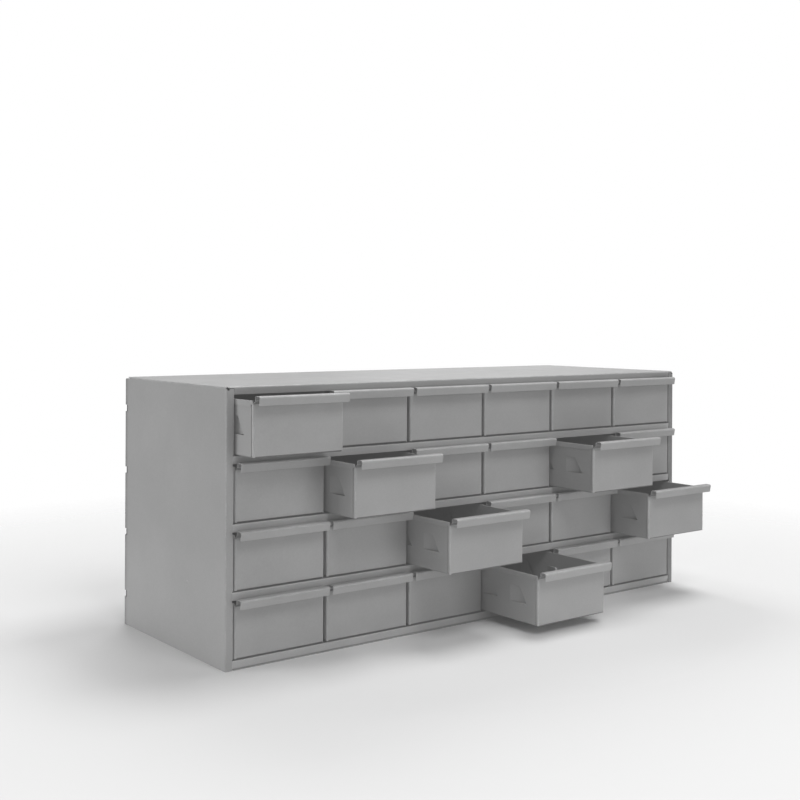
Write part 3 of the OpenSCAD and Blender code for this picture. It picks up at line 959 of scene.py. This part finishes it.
# The floor's reach, and the distances from its middle at which it starts to fade and is gone
FLOOR_REACH = 4.0
FLOOR_FADE = (0.5, 1.3)
PAPER_GREY = (0.86, 0.88)
PAPER_CLOUDS = (0.8, 3.0, 0.5)
PAPER_ROUGH = 0.9
PAPER_SHINE = 0.1
LIGHT_TARGET = (0, 0, 0.2)
SOFTBOX_SIZE = 1.0
SOFTBOX_DISTANCE = 2.4
# Name, watts, azimuth and elevation
SOFTBOXES = [
    ("overhead", 29.7, 75, 70),
    ("high_front", 16, -15, 48),
    ("low_front", 8.5, 15, 6),
    ("low_left", 19, -105, 6),
    ("high_behind", 17, 165, 48),
    ("behind_right", 3.8, 135, 26),
]


def build_world():
    """A dim world that the camera sees as plain white. Below the horizon is the glow of white paper."""
    world = bpy.data.worlds.new("studio")
    bpy.context.scene.world = world
    world.use_nodes = True
    nodes = world.node_tree.nodes
    links = world.node_tree.links
    direction = nodes.new("ShaderNodeTexCoord").outputs["Generated"]
    rise = nodes.new("ShaderNodeSeparateXYZ")
    links.new(direction, rise.inputs["Vector"])
    glow = nodes.new("ShaderNodeMapRange")
    glow.inputs["From Min"].default_value = -HORIZON_BLUR
    glow.inputs["From Max"].default_value = 0.0
    glow.inputs["To Min"].default_value = PAPER_GLOW
    glow.inputs["To Max"].default_value = AMBIENT
    links.new(rise.outputs["Z"], glow.inputs["Value"])
    seen = nodes.new("ShaderNodeLightPath").outputs["Is Camera Ray"]
    level = nodes.new("ShaderNodeMapRange")
    links.new(seen, level.inputs["Value"])
    links.new(glow.outputs["Result"], level.inputs["To Min"])
    level.inputs["To Max"].default_value = 1.0
    links.new(level.outputs["Result"], nodes["Background"].inputs["Strength"])
    nodes["Background"].inputs["Color"].default_value = (1, 1, 1, 1)


def add_softbox(name, watts, azimuth, elevation):
    """A square softbox aimed at the cabinet: azimuth 0 shines from the front, 90 from the right."""
    light = bpy.data.lights.new(name, "AREA")
    light.energy = watts
    light.size = SOFTBOX_SIZE
    lamp = new_object(name, light)
    lamp.visible_camera = False
    turn = math.radians(azimuth)
    rise = math.radians(elevation)
    towards = Vector((math.sin(turn) * math.cos(rise), -math.cos(turn) * math.cos(rise), math.sin(rise)))
    lamp.location = Vector(LIGHT_TARGET) + towards * SOFTBOX_DISTANCE
    lamp.rotation_euler = towards.to_track_quat("Z", "Y").to_euler()


def build_floor():
    """A floor of pale matt paper that fades away into the white all round."""
    mesh = bpy.data.meshes.new("floor")
    reach = FLOOR_REACH
    corners = [(-reach, -reach, 0), (reach, -reach, 0), (reach, reach, 0), (-reach, reach, 0)]
    mesh.from_pydata(corners, [], [(0, 1, 2, 3)])
    floor = new_object("floor", mesh)
    paper = Shader("studio_floor")
    tone = paper.ramp(paper.noise(*PAPER_CLOUDS), *PAPER_GREY)
    paper.feed(paper.surface.inputs["Base Color"], paper.grey(tone))
    paper.surface.inputs["Roughness"].default_value = PAPER_ROUGH
    paper.surface.inputs["Specular IOR Level"].default_value = PAPER_SHINE
    distance = paper.add("ShaderNodeVectorMath", {"operation": "LENGTH"}, Vector=paper.place).outputs["Value"]
    paper.feed(paper.surface.inputs["Alpha"], paper.ramp(distance, 1.0, 0.0, *FLOOR_FADE))
    mesh.materials.append(paper.material)


def build_camera():
    """A level camera with a rise, so that uprights stay upright."""
    data = bpy.data.cameras.new("camera")
    data.sensor_width = SENSOR_W
    data.lens = CAMERA_FOCUS / VIEW_SIZE * SENSOR_W
    data.shift_y = (HORIZON - VIEW_SIZE / 2) / VIEW_SIZE
    data.clip_end = CAMERA_REACH
    camera = new_object("camera", data)
    camera.location = Vector((-CASE_HALF, CASE_FRONT, 0)) + Vector(CAMERA_FROM_CORNER) * MM
    camera.rotation_euler = (math.radians(90), -CAMERA_ROLL, -math.radians(CAMERA_TURN))
    bpy.context.scene.camera = camera
    view = bpy.context.scene.view_settings
    view.view_transform = "Standard"
    view.use_curve_mapping = True
    view.curve_mapping.black_level = (-HAZE, -HAZE, -HAZE)
    view.curve_mapping.update()


build_case()
for deck in sorted(name for name in frame["nodes"] if name.startswith("shelf_")):
    build_deck(deck)
build_drawers()
dress_cad_nodes()
build_world()
for softbox in SOFTBOXES:
    add_softbox(*softbox)
build_floor()
build_camera()
